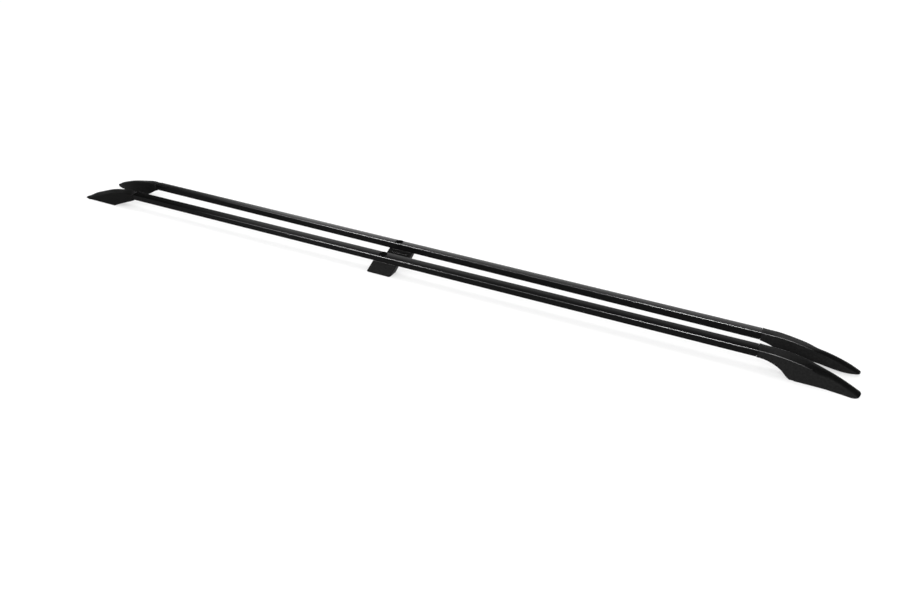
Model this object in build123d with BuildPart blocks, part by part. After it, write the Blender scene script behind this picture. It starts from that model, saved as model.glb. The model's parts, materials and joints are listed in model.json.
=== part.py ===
"""Pair of roof side rails: two hollow aluminium rails, mirror images, each on three moulded feet.

Millimetres, Z up, X along the rails toward the long front fins, Y toward the left rail.
Sizes along a rail are counted from the mid foot's bolt axis, sizes across from the rail's centre line.
"""
import os
from math import cos, radians, sin
from build123d import *

# Where the rails lie
bolt_axis_x = 14.4
half_spacing = 42.6
toe_in_deg = 0.367

# Rail extrusion
rail_half_length = 971.0
rail_half_width = 14.0
rail_bottom = 38.0
rail_top_outer = 54.4
rail_top_inner = 56.8
rail_crown = 1.3
rail_wall = 2.2
slot_half_width = 4.75
rail_edge_radius = 1.5
rail_crease_radius = 2.0
access_hole_radius = 10.4
socket_hole_radius = 8.5

# Pads, and the height at which the feet start
pad_thickness = 2.0
pad_inset = 0.8
pad_slot_length = 22.0
pad_slot_width = 9.0

# Foot mouldings
spigot_length = 46.0
spigot_gap = 0.3
joint_gap = 0.6
fin_crease_radius = 1.6
moulding_wall = 3.2
front_bolt = (1107.0, 3.0)
rear_bolt = (-1096.0, 4.0)
insert_radius = 5.0
insert_length = 14.0
thread_radius = 2.5
bolt_clearance_radius = 3.3
front_insert_bottom = 11.0
rear_insert_bottom = 3.0

# Mid foot
mid_base_ends = (-47.5, 29.5)
mid_top_ends = (-26.5, 50.5)
mid_base_half_width = 20.0
mid_top_half_width = 13.2
mid_pockets = ((8.0, 25.5), (28.0, 32.0))
mid_pocket_margins = (13.0, 11.0)
mid_pocket_floor = 11.5
mid_heel_corner = 5.0
mid_toe_corner = 6.0
sleeve_radius = 6.0
sleeve_flange_radius = 7.8
sleeve_top = 10.5
mid_screw_positions = (-19.0, 23.0)
mid_screw_seat = 30.0

# Screws and slot nuts
end_screw_positions = (12.0, 34.0)
end_screw_radius = 2.0
end_screw_flange_radius = 6.5
end_screw_head_radius = 4.2
end_screw_length = 11.0
mid_screw_radius = 2.0
mid_screw_head_radius = 4.0
slot_nut_size = (18.0, 16.0, 4.0)

# Plug
plug_rim_radius = 11.6
plug_rim_height = 0.6
plug_skirt_radius = 10.2
plug_length = 6.5
plug_wall = 1.4
plug_dish_radius = 10.0
plug_dish_floor = 6.0
plug_dish_depth = 2.8

# Each fin section: station, crease, crown and inner edge of the top, then the two walls at the base
front_sections = (
    (rail_half_length + joint_gap, (14.5, 55.4), (0, 57.2), (-14.5, 58.0), 14.8, -14.8),
    (1006, (14.4, 54.0), (0, 55.9), (-14.4, 56.6), 14.8, -14.8),
    (1036, (14.4, 50.2), (0, 52.6), (-14.4, 53.8), 14.8, -14.8),
    (1066, (14.5, 44.5), (0, 47.4), (-14.2, 48.2), 14.8, -14.6),
    (1086, (14.6, 37.6), (0, 43.6), (-13.0, 42.8), 14.9, -14.2),
    (1101, (14.7, 30.2), (0, 41.0), (-11.5, 38.0), 15.0, -13.8),
    (1121, (14.9, 20.2), (1, 35.8), (-9.5, 31.5), 15.6, -13.2),
    (1141, (15.2, 11.0), (2, 28.8), (-8.0, 23.5), 17.8, -12.6),
    (1160, (18.0, 5.0), (3, 20.8), (-6.5, 15.5), 20.4, -11.0),
    (1176, (18.8, 3.4), (4, 12.8), (-4.0, 9.8), 20.9, -9.0),
    (1190, (18.4, 2.8), (5, 5.0), (-2.0, 4.6), 20.8, -7.0),
)
rear_sections = (
    (-rail_half_length - joint_gap, (14.5, 54.9), (0, 57.1), (-14.5, 57.5), 14.8, -14.8),
    (-1000, (14.5, 53.4), (0, 55.8), (-14.4, 56.6), 16.5, -15.0),
    (-1040, (14.7, 49.6), (0, 52.8), (-14.2, 53.8), 18.5, -15.0),
    (-1080, (15.5, 42.0), (1, 47.4), (-13.0, 47.6), 20.2, -13.5),
    (-1110, (16.5, 33.4), (2, 41.4), (-11.0, 40.4), 20.4, -11.0),
    (-1140, (17.5, 22.6), (4, 33.0), (-8.0, 30.6), 20.2, -6.5),
    (-1170, (18.4, 12.6), (7, 23.4), (-3.6, 21.8), 20.2, -0.6),
    (-1190, (18.8, 6.4), (10.0, 14.6), (1.6, 13.8), 20.2, 4.0),
    (-1205, (18.8, 4.6), (12.5, 8.6), (6.0, 8.2), 20.0, 7.6),
    (-1217, (18.6, 4.0), (15, 5.2), (10.0, 5.0), 19.8, 11.4),
)
fin_floor = -6.0

# Underside of the fins on two planes beside the rail: the arch, then the base from heel to toe
outer_plane = 21.0
inner_plane = -16.0
front_arch_outer = (
    (955, 38.2), (980, 37.6), (998, 35.0), (1017, 27.6), (1034, 15.6), (1045, 3.6), (1052, -3.8)
)
front_arch_inner = (
    (940, 38.2), (966, 37.8), (981, 35.6), (993, 32.0), (1003, 27.6), (1011, 23.4), (1018, 19.6)
)
front_base_outer = ((1052, -3.8), (1100, -2.8), (1140, -1.6), (1166, -0.4), (1200, 0))
front_base_inner = ((1018, 19.6), (1060, 18.0), (1096, 15.6), (1126, 10.0), (1160, 6.2), (1200, 5.0))
rear_arch_outer = ((-955, 38.2), (-980, 38.0), (-1010, 25.6), (-1040, 13.0), (-1070, 0))
rear_arch_inner = ((-940, 38.2), (-964, 37.6), (-984, 31.0), (-1008, 19.0), (-1036, 8.2), (-1065, 0))
rear_base_outer = ((-1070, 0), (-1230, 0))
rear_base_inner = ((-1065, 0), (-1230, 0))

along = Vector(cos(radians(toe_in_deg)), sin(radians(toe_in_deg)), 0)
outward = Vector(sin(radians(toe_in_deg)), -cos(radians(toe_in_deg)), 0)
rail_origin = Vector(bolt_axis_x, -half_spacing, 0)


def side_plane(out):
    """Upright plane beside the rail, drawn in (along, up)."""
    return Plane(rail_origin + outward * out, x_dir=along, z_dir=outward)


def cross_plane(x):
    """Upright plane across the rail, drawn in (outward, up)."""
    return Plane(rail_origin + along * x, x_dir=outward, z_dir=along * -1)


def plan_plane(z):
    """Level plane drawn in (along, outward), its normal pointing down."""
    return Plane(rail_origin + Vector(0, 0, z), x_dir=along, z_dir=(0, 0, -1))


def bore_up(x, out, bottom, top, radius, mode=Mode.SUBTRACT):
    """Upright round hole or pin between two heights."""
    with BuildSketch(plan_plane(bottom)) as ring:
        with Locations((x, out)):
            Circle(radius)
    extrude(ring.sketch, amount=bottom - top, mode=mode)


def fin_loft(sections):
    """Smooth fin through its cross sections, standing on a floor below its base."""
    profiles = []
    for x, crease, crown, inner, wall_out, wall_in in sections:
        with BuildSketch(cross_plane(x)) as profile:
            with BuildLine():
                ThreePointArc(crease, crown, inner)
                Polyline(inner, (wall_in, fin_floor), (wall_out, fin_floor), crease)
            make_face()
            fillet(vertices().sort_by(Axis.Y)[-2:], fin_crease_radius)
        profiles.append(profile.sketch.face())
    loft(profiles)


def underside(out, arch, base, lift):
    """Face of everything below the fin's underside, on one plane beside the rail."""
    lifted = [(x, z + lift) for x, z in base]
    far_x = base[-1][0]
    near_x = arch[0][0]
    with BuildSketch(side_plane(out)) as profile:
        with BuildLine():
            Line(arch[0], arch[1])
            Spline(*arch[1:-1], lifted[0])
            Spline(*lifted)
            Polyline(lifted[-1], (far_x, -20), (near_x, -20), arch[0])
        make_face()
    return profile.sketch.face()


def pad_strip(out, base):
    """Edge of the pad that lies under a fin's base, on one plane beside the rail."""
    lifted = [(x, z + pad_thickness) for x, z in base]
    with BuildSketch(side_plane(out)) as profile:
        with BuildLine():
            Spline(*base)
            Line(base[-1], lifted[-1])
            Spline(*lifted)
            Line(lifted[0], base[0])
        make_face()
    return profile.sketch.face()


# Plane that touches the crown of the rail's top
top_rise = rail_top_inner - rail_top_outer
top_normal = outward * top_rise + Vector(0, 0, 2 * rail_half_width)
top_centre = rail_origin + Vector(0, 0, (rail_top_inner + rail_top_outer) / 2 + rail_crown)
top_plane = Plane(top_centre, x_dir=along, z_dir=top_normal)


def crowned_section(inset, mode=Mode.ADD):
    """Section of the rail, or of its hollow, with a crowned top that slopes outward."""
    half = rail_half_width - inset
    low = rail_bottom + inset
    outer_corner = (half, rail_top_outer - inset)
    inner_corner = (-half, rail_top_inner - inset)
    crown = (0, (rail_top_outer + rail_top_inner) / 2 + rail_crown - inset)
    with BuildLine() as outline:
        ThreePointArc(outer_corner, crown, inner_corner)
        Polyline(inner_corner, (-half, low), (half, low), outer_corner)
    make_face(outline.edges(), mode=mode)


# Rail: hollow extrusion with a slot along its underside
with BuildPart() as rail:
    with BuildSketch(cross_plane(-rail_half_length)):
        crowned_section(0)
        fillet(vertices().sort_by(Axis.Y)[:2], rail_edge_radius)
        fillet(vertices().sort_by(Axis.Y)[-2:], rail_crease_radius)
        crowned_section(rail_wall, Mode.SUBTRACT)
        with Locations((0, rail_bottom + rail_wall / 2)):
            Rectangle(2 * slot_half_width, 2 * rail_wall, mode=Mode.SUBTRACT)
    extrude(amount=-2 * rail_half_length)
    with BuildSketch(top_plane.offset(rail_wall)):
        Circle(access_hole_radius)
    extrude(amount=-rail_wall * 3, mode=Mode.SUBTRACT)
    bore_up(0, 0, rail_bottom - 1, rail_bottom + rail_wall + 1, socket_hole_radius)


def spigot(end, direction):
    """Tongue that fills the rail's end, with its two screw holes."""
    half = rail_half_width - rail_wall - spigot_gap
    low = rail_bottom + rail_wall + spigot_gap
    high = rail_wall + spigot_gap
    with BuildSketch(cross_plane(end + direction * joint_gap)) as tongue:
        with BuildLine():
            Polyline(
                (half, low),
                (half, rail_top_outer - high),
                (-half, rail_top_inner - high),
                (-half, low),
                close=True,
            )
        make_face()
    extrude(tongue.sketch, amount=direction * (joint_gap + spigot_length))
    for offset in end_screw_positions:
        bore_up(end - direction * offset, 0, rail_bottom, rail_bottom + end_screw_length, end_screw_radius)


# Front fin, its underside and its hollow bays
with BuildPart() as front_fin:
    fin_loft(front_sections)
    with BuildSketch(plan_plane(-20)):
        with BuildLine():
            Polyline((1162, -11.2), (1162, -40), (940, -40), (940, 40), (1171, 40), (1171, 22))
            Spline((1171, 22), (1178.4, 18.4), (1183.4, 11), (1183.8, 3.6), (1176, -4.8), (1162, -11.2))
        make_face()
    extrude(amount=-120, mode=Mode.INTERSECT)

with BuildPart() as front_under:
    outer_face = underside(outer_plane, front_arch_outer, front_base_outer, pad_thickness)
    inner_face = underside(inner_plane, front_arch_inner, front_base_inner, pad_thickness)
    loft([outer_face, inner_face], ruled=True)

with BuildPart() as front_bays:
    with BuildSketch(plan_plane(-20)):
        for start, end in ((984, 1015), (1018, 1049), (1052, 1088)):
            with Locations(((start + end) / 2, 0)):
                Rectangle(end - start, 22)
        with BuildLine():
            Polyline((1126, 11.4), (1156, 11.4), (1156, -3.5), (1126, -6.5), close=True)
        make_face()
    extrude(amount=-120)
    add(front_fin.part.moved(Location((0, 0, -moulding_wall))), mode=Mode.INTERSECT)

with BuildPart() as front_foot:
    add(front_fin.part)
    add(front_under.part, mode=Mode.SUBTRACT)
    add(front_bays.part, mode=Mode.SUBTRACT)
    insert_top = front_insert_bottom + insert_length
    bore_up(*front_bolt, -20, insert_top, insert_radius)
    bore_up(*front_bolt, insert_top, insert_top + 6, bolt_clearance_radius)
    spigot(rail_half_length, 1)

# Rear fin: straight ramp down to a skewed heel
with BuildPart() as rear_fin:
    fin_loft(rear_sections)
    with BuildSketch(plan_plane(-20)):
        with BuildLine():
            Polyline((-1210.5, 20.6), (-1210.5, 40), (-940, 40), (-940, -40), (-1200.5, -40), (-1200.5, 6.6))
            ThreePointArc((-1200.5, 6.6), (-1208.8, 11.4), (-1213.4, 18.0))
            Line((-1213.4, 18.0), (-1210.5, 20.6))
        make_face()
    extrude(amount=-120, mode=Mode.INTERSECT)

with BuildPart() as rear_under:
    outer_face = underside(outer_plane, rear_arch_outer, rear_base_outer, pad_thickness)
    inner_face = underside(inner_plane, rear_arch_inner, rear_base_inner, pad_thickness)
    loft([outer_face, inner_face], ruled=True)

with BuildPart() as rear_bays:
    with BuildSketch(plan_plane(-20)):
        for start, end, wall_out, wall_in in (
            (-1008, -984, 11.4, -11.2),
            (-1042, -1011, 12, -11),
            (-1076, -1045, 12.4, -10.4),
            (-1158, -1116, 14, -0.8),
        ):
            with Locations(((start + end) / 2, (wall_out + wall_in) / 2)):
                Rectangle(end - start, wall_out - wall_in)
    extrude(amount=-120)
    add(rear_fin.part.moved(Location((0, 0, -moulding_wall))), mode=Mode.INTERSECT)

with BuildPart() as rear_foot:
    add(rear_fin.part)
    add(rear_under.part, mode=Mode.SUBTRACT)
    add(rear_bays.part, mode=Mode.SUBTRACT)
    insert_top = rear_insert_bottom + insert_length
    bore_up(*rear_bolt, -20, insert_top, insert_radius)
    bore_up(*rear_bolt, insert_top, insert_top + 9, bolt_clearance_radius)
    spigot(-rail_half_length, -1)


def rounded_block(start, end, half):
    """Outline of the mid foot, its front corners rounder than the rear ones."""
    with Locations(((start + end) / 2, 0)):
        Rectangle(end - start, 2 * half)
    fillet(vertices().sort_by(Axis.X)[:2], mid_heel_corner)
    fillet(vertices().sort_by(Axis.X)[-2:], mid_toe_corner)


def pocket_corners(z):
    """Ends of a pocket at one height, clear of the mid foot's leaning heel and toe."""
    part_way = (z - pad_thickness) / (rail_bottom - pad_thickness)
    heel = mid_base_ends[0] + part_way * (mid_top_ends[0] - mid_base_ends[0])
    toe = mid_base_ends[1] + part_way * (mid_top_ends[1] - mid_base_ends[1])
    return (heel + mid_pocket_margins[0], z), (toe - mid_pocket_margins[1], z)


# Mid foot: leaning flared block under the rail, with ribbed pockets on its inner side
with BuildPart() as mid_foot:
    for z, (start, end), half in (
        (pad_thickness, mid_base_ends, mid_base_half_width),
        (rail_bottom, mid_top_ends, mid_top_half_width),
    ):
        with BuildSketch(plan_plane(z)):
            rounded_block(start, end, half)
    loft(ruled=True)
    with BuildSketch(side_plane(-30)):
        for low, high in mid_pockets:
            with BuildLine():
                Polyline(*pocket_corners(low), *reversed(pocket_corners(high)), close=True)
            make_face()
        fillet(vertices(), 1.5)
    extrude(amount=30 - mid_pocket_floor, mode=Mode.SUBTRACT)
    bore_up(0, 0, sleeve_top - 1.5, rail_bottom + 1, socket_hole_radius)
    bore_up(0, 0, 0, sleeve_top, sleeve_radius)
    for x in mid_screw_positions:
        bore_up(x, 0, 0, mid_screw_seat, mid_screw_head_radius + 0.4)
        bore_up(x, 0, mid_screw_seat, rail_bottom + 1, mid_screw_radius + 0.3)

# Pads under the feet
with BuildPart() as front_pad_sheet:
    loft([pad_strip(outer_plane, front_base_outer), pad_strip(inner_plane, front_base_inner)], ruled=True)

with BuildPart() as front_pad:
    with BuildSketch(plan_plane(-20)):
        with BuildLine():
            Polyline((1110, -12.4), (1026, -13), (1056, 14), (1120, 14.4), (1144, 16.6), (1160, 19))
            Spline(
                (1160, 19), (1171, 19.8), (1179, 16.6), (1182.6, 10), (1174, -1), (1150, -9.6), (1110, -12.4)
            )
        make_face()
        with Locations(front_bolt):
            SlotOverall(pad_slot_length, pad_slot_width, mode=Mode.SUBTRACT)
    extrude(amount=-60)
    add(front_pad_sheet.part, mode=Mode.INTERSECT)

with BuildPart() as rear_pad:
    with BuildSketch(plan_plane(0)):
        with BuildLine():
            Polyline((-1110, -9.8), (-1066, -12.8), (-1072, 18.8), (-1140, 19), (-1192, 18.8))
            Spline((-1192, 18.8), (-1206, 18.4), (-1210, 15.8), (-1202, 9.2), (-1164, 0.8), (-1110, -9.8))
        make_face()
        with Locations(rear_bolt):
            SlotOverall(pad_slot_length, pad_slot_width, mode=Mode.SUBTRACT)
    extrude(amount=-pad_thickness)

with BuildPart() as mid_pad:
    with BuildSketch(plan_plane(0)):
        start, end = mid_base_ends
        rounded_block(start + pad_inset, end - pad_inset, mid_base_half_width - pad_inset)
        SlotOverall(pad_slot_length, pad_slot_width, mode=Mode.SUBTRACT)
    extrude(amount=-pad_thickness)

# Steel pieces in the feet
with BuildPart() as front_insert:
    bore_up(*front_bolt, front_insert_bottom, front_insert_bottom + insert_length, insert_radius, Mode.ADD)
    bore_up(*front_bolt, front_insert_bottom - 1, front_insert_bottom + insert_length + 1, thread_radius)

with BuildPart() as rear_insert:
    bore_up(*rear_bolt, rear_insert_bottom, rear_insert_bottom + insert_length, insert_radius, Mode.ADD)
    bore_up(*rear_bolt, rear_insert_bottom - 1, rear_insert_bottom + insert_length + 1, thread_radius)

with BuildPart() as mid_sleeve:
    bore_up(0, 0, pad_thickness, sleeve_top, sleeve_radius, Mode.ADD)
    bore_up(0, 0, sleeve_top - 1.5, sleeve_top, sleeve_flange_radius, Mode.ADD)
    bore_up(0, 0, 0, sleeve_top + 1, bolt_clearance_radius)


def hex_head(x, bottom, top, radius):
    """Six-sided screw head between two heights."""
    with BuildSketch(plan_plane(bottom)) as head:
        with Locations((x, 0)):
            RegularPolygon(radius, 6)
    extrude(head.sketch, amount=bottom - top)


def end_screws(end, direction):
    """Two flanged screws up through the rail's slot into a foot's spigot."""
    for offset in end_screw_positions:
        x = end - direction * offset
        bore_up(x, 0, rail_bottom - 1.6, rail_bottom, end_screw_flange_radius, Mode.ADD)
        hex_head(x, rail_bottom - 3.8, rail_bottom - 1.6, end_screw_head_radius)
        bore_up(x, 0, rail_bottom, rail_bottom + end_screw_length - 0.5, end_screw_radius, Mode.ADD)


with BuildPart() as front_foot_screws:
    end_screws(rail_half_length, 1)

with BuildPart() as rear_foot_screws:
    end_screws(-rail_half_length, -1)

nut_bottom = rail_bottom + rail_wall
with BuildPart() as mid_foot_screws:
    for x in mid_screw_positions:
        hex_head(x, mid_screw_seat - 3.2, mid_screw_seat, mid_screw_head_radius)
        bore_up(x, 0, mid_screw_seat, nut_bottom + slot_nut_size[2] + 1, mid_screw_radius, Mode.ADD)

with BuildPart() as slot_nuts:
    for x in mid_screw_positions:
        with BuildSketch(plan_plane(nut_bottom)):
            with Locations((x, 0)):
                Rectangle(slot_nut_size[0], slot_nut_size[1])
        extrude(amount=-slot_nut_size[2])
        bore_up(x, 0, nut_bottom, nut_bottom + slot_nut_size[2], mid_screw_radius)

# Plug that closes the access hole: dished cap on a skirt, its rim lying on the crowned top
with BuildPart() as hole_plug:
    with BuildSketch(top_plane.offset(plug_rim_height)):
        Circle(plug_rim_radius)
    extrude(amount=-2 * plug_rim_height - rail_crown)
    with BuildSketch(top_plane):
        Circle(plug_skirt_radius)
    extrude(amount=-plug_length)
    with Locations(top_plane.offset(plug_rim_height - plug_dish_depth / 2)):
        Cone(plug_dish_floor, plug_dish_radius, plug_dish_depth, mode=Mode.SUBTRACT)
    with BuildSketch(top_plane.offset(-plug_length)):
        Circle(plug_skirt_radius - plug_wall)
    extrude(amount=plug_length + plug_rim_height - plug_dish_depth - plug_wall, mode=Mode.SUBTRACT)
    add(rail.part, mode=Mode.SUBTRACT)

pieces = {
    "rail": rail,
    "front_foot": front_foot,
    "rear_foot": rear_foot,
    "mid_foot": mid_foot,
    "front_pad": front_pad,
    "rear_pad": rear_pad,
    "mid_pad": mid_pad,
    "front_insert": front_insert,
    "rear_insert": rear_insert,
    "mid_sleeve": mid_sleeve,
    "front_foot_screws": front_foot_screws,
    "rear_foot_screws": rear_foot_screws,
    "mid_foot_screws": mid_foot_screws,
    "slot_nuts": slot_nuts,
    "hole_plug": hole_plug,
}

os.makedirs("parts", exist_ok=True)
for name, piece in pieces.items():
    piece.part.label = "right_" + name
    export_step(piece.part, f"parts/right_{name}.step")
    with BuildPart() as mirrored:
        mirror(piece.part, about=Plane.XZ)
    mirrored.part.label = "left_" + name
    export_step(mirrored.part, f"parts/left_{name}.step")
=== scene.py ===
"""Studio picture of a pair of black roof side rails lying side by side on a pale floor.

Metres, Z up, X along the rails towards the long front fins, Y towards the left rail.
"""
import json
import math

import bpy
from mathutils import Matrix, Vector


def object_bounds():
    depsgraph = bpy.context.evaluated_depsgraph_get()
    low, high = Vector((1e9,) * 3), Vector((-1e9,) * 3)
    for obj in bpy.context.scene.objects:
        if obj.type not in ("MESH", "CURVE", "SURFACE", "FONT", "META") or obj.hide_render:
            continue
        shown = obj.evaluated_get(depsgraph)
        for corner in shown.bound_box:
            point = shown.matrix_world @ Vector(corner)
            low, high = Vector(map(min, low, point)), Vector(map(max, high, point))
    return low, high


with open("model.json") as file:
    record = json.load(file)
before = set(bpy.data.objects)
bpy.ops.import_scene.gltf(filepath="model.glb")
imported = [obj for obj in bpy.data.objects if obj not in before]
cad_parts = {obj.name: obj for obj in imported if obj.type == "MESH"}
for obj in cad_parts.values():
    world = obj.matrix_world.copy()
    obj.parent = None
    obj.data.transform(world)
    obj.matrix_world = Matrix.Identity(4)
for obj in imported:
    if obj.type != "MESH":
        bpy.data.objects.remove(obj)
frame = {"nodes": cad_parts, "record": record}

cad_low, cad_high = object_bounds()

# Camera, as the photograph was taken
IMAGE_WIDTH = 920
CAMERA_PLACE = Vector((0.9304, -1.3658, 0.8908))
CAMERA_YAW = math.radians(27.07)
CAMERA_PITCH = math.radians(32.26)
FOCAL_PIXELS = 650.0
PIXEL_SHIFT = 0.5
SENSOR_WIDTH = 36.0
CLIP_END = 100.0

# Floor
FLOOR_SIZE = 40.0
FLOOR_GLOW = 0.58

# Overhead softboxes: where along the rails each one hangs and aims, and its width
SOFTBOXES = {
    "overhead_left": (-1.62, -0.2, 0.80),
    "overhead_right": (0.68, 0.8, 0.72),
}
SOFTBOX_DEPTH = 0.9
SOFTBOX_SIDE = 0.25
SOFTBOX_HEIGHT = 2.5
SOFTBOX_RADIANCE = 10.0

# Surround: how bright each part is, and between which parts of the direction it fades
LOW_SKY = 3.2
HIGH_SKY = 0.05
SKY_RISE = (0.55, 0.80)
REAR_SKY_SHARE = 0.02
REAR_SKY_SPAN = (-0.72, -0.63)
FRONT_SKY_SHARE = 0.40
FRONT_SKY_SPAN = (0.20, 0.50)
NEAR_SKY = 3.2
NEAR_SKY_SPAN = (-0.35, -0.05)
NEAR_SKY_RISE = (0.60, 0.85)
HORIZON_LIGHT = 1.0
HORIZON_RISE = (0.12, 0.24)
REAR_LIGHT = 2.0
REAR_LIGHT_SPAN = (-0.95, -0.88)

# Places along the rails between which the painted highlight on the upper edges comes up at the rear and
# fades at the front
REAR_FADE = (cad_low.x + 0.52, cad_low.x + 1.07)
FRONT_FADE = (cad_high.x - 0.18, cad_high.x - 0.10)

# Places along the rails between which the painted shade on the rear end fades out, and the painted shade
# on the tops of the front toes comes in
REAR_SHADE = (cad_low.x + 0.25, cad_low.x + 0.95)
TOE_SHADE = (cad_high.x - 0.17, cad_high.x - 0.11)

# Upward parts of the normal between which a side turns into an edge with a painted highlight, and a toe's
# side into its top with painted shade
EDGE_RISE = (0.60, 0.80)
TOE_RISE = (0.40, 0.60)

# Values that nearly all of a noise lies between
NOISE_SPAN = (0.3, 0.7)

# Sockets of a Mix node that mixes colours
MIX_FACTOR = 0
MIX_FIRST = 6
MIX_SECOND = 7
MIX_RESULT = 2

WHITE = (1.0, 1.0, 1.0, 1.0)


def feed(tree, node, **inputs):
    """Feed a node's inputs by name, each from another node's output or with a fixed value."""
    for name, value in inputs.items():
        feed_socket(tree, node.inputs[name.replace("_", " ")], value)


def feed_socket(tree, socket, value):
    if isinstance(value, bpy.types.NodeSocket):
        tree.links.new(value, socket)
    else:
        socket.default_value = value


def add_node(tree, kind, **inputs):
    node = tree.nodes.new(kind)
    feed(tree, node, **inputs)
    return node


def new_material(name):
    material = bpy.data.materials.new(name)
    material.use_nodes = True
    return material, material.node_tree, material.node_tree.nodes["Principled BSDF"]


def coordinates(tree, kind):
    return tree.nodes.new("ShaderNodeTexCoord").outputs[kind]


def split(tree, vector):
    """The X, Y and Z parts of a vector, by name."""
    return add_node(tree, "ShaderNodeSeparateXYZ", Vector=vector).outputs


def place_along(tree):
    """Place along the rails of the point that is shaded."""
    return split(tree, coordinates(tree, "Object"))["X"]


def noise(tree, scale, detail=3.0, stretch=(1.0, 1.0, 1.0)):
    """Noise over the object's own coordinates; scale counts features in a metre."""
    mapping = add_node(tree, "ShaderNodeMapping", Vector=coordinates(tree, "Object"), Scale=stretch)
    texture = add_node(
        tree, "ShaderNodeTexNoise", Vector=mapping.outputs["Vector"], Scale=scale, Detail=detail
    )
    return texture.outputs["Fac"]


def spread(tree, value, low, high, span=NOISE_SPAN):
    """Value between the ends of a span, stretched to run from low to high."""
    start, end = span
    node = add_node(
        tree, "ShaderNodeMapRange", Value=value, From_Min=start, From_Max=end, To_Min=low, To_Max=high
    )
    return node.outputs["Result"]


def tint(tree, value, first, second):
    """Colour that goes from the first to the second with a value."""
    mix = tree.nodes.new("ShaderNodeMix")
    mix.data_type = "RGBA"
    feed_socket(tree, mix.inputs[MIX_FACTOR], value)
    feed_socket(tree, mix.inputs[MIX_FIRST], first)
    feed_socket(tree, mix.inputs[MIX_SECOND], second)
    return mix.outputs[MIX_RESULT]


def grey(level):
    return (level, level, level, 1.0)


def grey_between(tree, value, dark, light):
    return tint(tree, value, grey(dark), grey(light))


def calculate(tree, operation, *values):
    """One or two values put through the named operation."""
    node = tree.nodes.new("ShaderNodeMath")
    node.operation = operation
    for socket, value in zip(node.inputs, values):
        feed_socket(tree, socket, value)
    return node.outputs["Value"]


def multiply(tree, first, second):
    return calculate(tree, "MULTIPLY", first, second)


def larger(tree, first, second):
    return calculate(tree, "MAXIMUM", first, second)


def edge_highlight_mask(tree, normal, tilt):
    """Mask of the painted highlight: one on the rounded upper edges, fading to nothing on the top, the
    sides and the ends of the fins.
    """
    facing = split(tree, normal)
    along = place_along(tree)
    below_top = spread(tree, calculate(tree, "ABSOLUTE", facing["Y"]), 0.0, 1.0, tilt)
    above_side = spread(tree, facing["Z"], 0.0, 1.0, EDGE_RISE)
    from_rear = spread(tree, along, 0.0, 1.0, REAR_FADE)
    to_front = spread(tree, along, 1.0, 0.0, FRONT_FADE)
    across = multiply(tree, below_top, above_side)
    return multiply(tree, across, multiply(tree, from_rear, to_front))


def painted_rear_shade(tree):
    """Mask of the painted shade: one at the rear end of the rails, fading to nothing further forward."""
    return spread(tree, place_along(tree), 1.0, 0.0, REAR_SHADE)


def painted_toe_shade(tree, normal):
    """Mask of the painted shade: one on the tops of the front toes, fading to nothing on their sides and
    further back.
    """
    ahead = spread(tree, place_along(tree), 0.0, 1.0, TOE_SHADE)
    on_top = spread(tree, split(tree, normal)["Z"], 0.0, 1.0, TOE_RISE)
    return multiply(tree, ahead, on_top)


def softened_normal(tree, radius):
    """Normal of the surface with its sharp edges rounded off."""
    return add_node(tree, "ShaderNodeBevel", Radius=radius).outputs["Normal"]


def bumped_normal(tree, height, strength, distance, **base):
    """Normal of the surface roughened by a height, over another normal if one is given."""
    node = add_node(
        tree, "ShaderNodeBump", Height=height, Strength=strength, Distance=distance, **base
    )
    return node.outputs["Normal"]


def coated_metal():
    """Satin black coating on an extruded bar, with faint draw lines, a painted highlight on the rounded
    upper edges and painted shade at the rear end.
    """
    material, tree, shader = new_material("coated_metal")
    draw_lines = noise(tree, scale=260.0, detail=4.0, stretch=(0.012, 1.0, 1.0))
    cloud = noise(tree, scale=14.0)
    grain = noise(tree, scale=2600.0, detail=2.0)
    front_coat = grey_between(tree, cloud, dark=0.0025, light=0.0040)
    # Painted shade: a darker copy of the coat, used at the rear end of the rails
    painted_shade_coat = grey_between(tree, cloud, dark=0.0004, light=0.0008)
    coat = tint(tree, painted_rear_shade(tree), front_coat, painted_shade_coat)
    # Painted highlight: a pale metallic grey on the rounded upper edges
    painted_highlight = edge_highlight_mask(tree, coordinates(tree, "Normal"), tilt=(0.27, 0.42))
    feed(
        tree,
        shader,
        Base_Color=tint(tree, painted_highlight, coat, grey(0.30)),
        Metallic=painted_highlight,
        Roughness=spread(tree, draw_lines, low=0.17, high=0.25),
        IOR=1.1,
        Normal=bumped_normal(tree, grain, strength=0.08, distance=0.0002),
    )
    return material


def moulded_plastic():
    """Mottled black moulding with a fine grain, a painted highlight on the rounded upper edges, and
    painted shade at the rear end and on the tops of the front toes.
    """
    material, tree, shader = new_material("moulded_plastic")
    mottle = noise(tree, scale=220.0, detail=4.0)
    grain = noise(tree, scale=1500.0)
    normal = softened_normal(tree, radius=0.0012)
    open_skin = grey_between(tree, mottle, dark=0.0030, light=0.0145)
    # Painted shade: a darker copy of the skin, used at the rear end and on the tops of the front toes
    painted_shade_skin = grey_between(tree, mottle, dark=0.0010, light=0.0052)
    painted_shade = larger(tree, painted_rear_shade(tree), painted_toe_shade(tree, normal))
    skin = tint(tree, painted_shade, open_skin, painted_shade_skin)
    # Painted highlight: a pale metallic grey on the rounded upper edges
    painted_highlight = edge_highlight_mask(tree, normal, tilt=(0.36, 0.46))
    feed(
        tree,
        shader,
        Base_Color=tint(tree, painted_highlight, skin, grey(0.46)),
        Metallic=painted_highlight,
        Roughness=spread(tree, grain, low=0.36, high=0.50),
        IOR=1.06,
        Normal=bumped_normal(tree, grain, strength=0.25, distance=0.0003, Normal=normal),
    )
    return material


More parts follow.
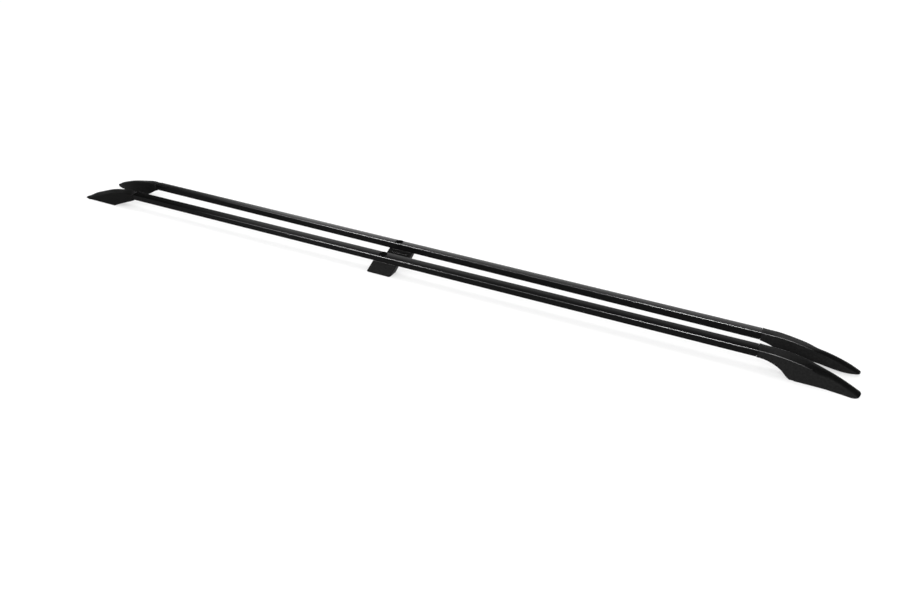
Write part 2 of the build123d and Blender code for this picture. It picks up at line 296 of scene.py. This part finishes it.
def sheet_rubber():
    """Matte black sheet of the pads."""
    material, tree, shader = new_material("sheet_rubber")
    cloud = noise(tree, scale=60.0)
    grain = noise(tree, scale=900.0, detail=2.0)
    feed(
        tree,
        shader,
        Base_Color=grey_between(tree, cloud, dark=0.010, light=0.016),
        Roughness=spread(tree, grain, low=0.75, high=0.9),
        Specular_IOR_Level=0.2,
        Normal=bumped_normal(tree, grain, strength=0.3, distance=0.0003),
    )
    return material


def plug_plastic():
    """Soft dull black of the hole plugs."""
    material, tree, shader = new_material("plug_plastic")
    cloud = noise(tree, scale=200.0)
    grain = noise(tree, scale=2000.0, detail=2.0)
    feed(
        tree,
        shader,
        Base_Color=grey_between(tree, cloud, dark=0.0015, light=0.0030),
        Roughness=spread(tree, grain, low=0.7, high=0.85),
        IOR=1.05,
        Normal=bumped_normal(tree, grain, strength=0.1, distance=0.0002),
    )
    return material


def plated_steel():
    """Zinc-plated steel of the screws, nuts, inserts and sleeves."""
    material, tree, shader = new_material("plated_steel")
    cloud = noise(tree, scale=350.0)
    grain = noise(tree, scale=4000.0, detail=2.0)
    dull_zinc = (0.42, 0.42, 0.40, 1.0)
    bright_zinc = (0.58, 0.575, 0.55, 1.0)
    feed(
        tree,
        shader,
        Base_Color=tint(tree, cloud, dull_zinc, bright_zinc),
        Metallic=1.0,
        Roughness=spread(tree, grain, low=0.28, high=0.42),
        Normal=bumped_normal(tree, grain, strength=0.1, distance=0.0001),
    )
    return material


def floor_material():
    """Pale matte studio floor, lit a little from below so that shadows stay faint."""
    material, tree, shader = new_material("studio_floor")
    cloud = noise(tree, scale=1.3)
    feed(
        tree,
        shader,
        Base_Color=grey_between(tree, cloud, dark=0.35, light=0.37),
        Roughness=0.9,
        Specular_IOR_Level=0.1,
        Emission_Color=WHITE,
        Emission_Strength=FLOOR_GLOW,
    )
    return material


def dress_nodes():
    """Give every node the material of its slot in the record."""
    materials = {
        "rail_metal": coated_metal(),
        "foot_plastic": moulded_plastic(),
        "pad_rubber": sheet_rubber(),
        "plug_plastic": plug_plastic(),
        "steel": plated_steel(),
    }
    for row in frame["record"]["subparts"]:
        piece = frame["nodes"][row["node"]]
        piece.data.materials.clear()
        piece.data.materials.append(materials[row["material_slot"]])


def add_floor():
    half = FLOOR_SIZE / 2
    mesh = bpy.data.meshes.new("floor")
    corners = [(-half, -half, 0), (half, -half, 0), (half, half, 0), (-half, half, 0)]
    mesh.from_pydata(corners, [], [range(len(corners))])
    mesh.materials.append(floor_material())
    floor = bpy.data.objects.new("floor", mesh)
    bpy.context.collection.objects.link(floor)


def add_world():
    """Soft surround, whose light depends on the direction.

    It is bright low down and dark high up, dimmer towards the front of the rails and almost dark towards
    their rear. The near side is bright low down, a light stands straight behind the rear end of the rails,
    and the horizon is pale all round.
    """
    world = bpy.data.worlds.new("studio")
    bpy.context.scene.world = world
    world.use_nodes = True
    tree = world.node_tree
    direction = split(tree, coordinates(tree, "Generated"))
    height_light = spread(tree, direction["Z"], LOW_SKY, HIGH_SKY, SKY_RISE)
    rear_share = spread(tree, direction["X"], REAR_SKY_SHARE, 1.0, REAR_SKY_SPAN)
    front_share = spread(tree, direction["X"], 1.0, FRONT_SKY_SHARE, FRONT_SKY_SPAN)
    sky = multiply(tree, height_light, multiply(tree, rear_share, front_share))
    near_light = spread(tree, direction["Y"], NEAR_SKY, 0.0, NEAR_SKY_SPAN)
    near_share = spread(tree, direction["Z"], 1.0, 0.0, NEAR_SKY_RISE)
    near_sky = multiply(tree, near_light, near_share)
    horizon = spread(tree, direction["Z"], HORIZON_LIGHT, 0.0, HORIZON_RISE)
    rear_light = spread(tree, direction["X"], REAR_LIGHT, 0.0, REAR_LIGHT_SPAN)
    strength = larger(tree, larger(tree, sky, near_sky), larger(tree, horizon, rear_light))
    feed(tree, tree.nodes["Background"], Color=WHITE, Strength=strength)


def add_softbox(name, place, aim, width):
    """Rectangular area light facing a point, set by the brightness of its face."""
    light = bpy.data.lights.new(name, "AREA")
    light.shape = "RECTANGLE"
    light.size = width
    light.size_y = SOFTBOX_DEPTH
    light.energy = SOFTBOX_RADIANCE * width * SOFTBOX_DEPTH * math.pi
    lamp = bpy.data.objects.new(name, light)
    lamp.location = place
    lamp.rotation_mode = "QUATERNION"
    lamp.rotation_quaternion = (aim - place).to_track_quat("-Z", "Y")
    bpy.context.collection.objects.link(lamp)


def add_softboxes():
    for name, (place_along_rails, aim_along_rails, width) in SOFTBOXES.items():
        place = Vector((place_along_rails, SOFTBOX_SIDE, SOFTBOX_HEIGHT))
        aim = Vector((aim_along_rails, 0.0, 0.0))
        add_softbox(name, place, aim, width)


def add_camera():
    camera = bpy.data.objects.new("camera", bpy.data.cameras.new("camera"))
    level = math.cos(CAMERA_PITCH)
    forward = Vector(
        (-math.sin(CAMERA_YAW) * level, math.cos(CAMERA_YAW) * level, -math.sin(CAMERA_PITCH))
    )
    right = Vector((math.cos(CAMERA_YAW), math.sin(CAMERA_YAW), 0.0))
    up = right.cross(forward)
    turn = Matrix((right, up, -forward)).transposed().to_4x4()
    camera.matrix_world = Matrix.Translation(CAMERA_PLACE) @ turn
    camera.data.sensor_width = SENSOR_WIDTH
    camera.data.lens = FOCAL_PIXELS / IMAGE_WIDTH * SENSOR_WIDTH
    camera.data.shift_x = -PIXEL_SHIFT / IMAGE_WIDTH
    camera.data.shift_y = PIXEL_SHIFT / IMAGE_WIDTH
    camera.data.clip_end = CLIP_END
    bpy.context.collection.objects.link(camera)
    bpy.context.scene.camera = camera


dress_nodes()
add_floor()
add_world()
add_softboxes()
add_camera()
bpy.context.scene.view_settings.view_transform = "Standard"
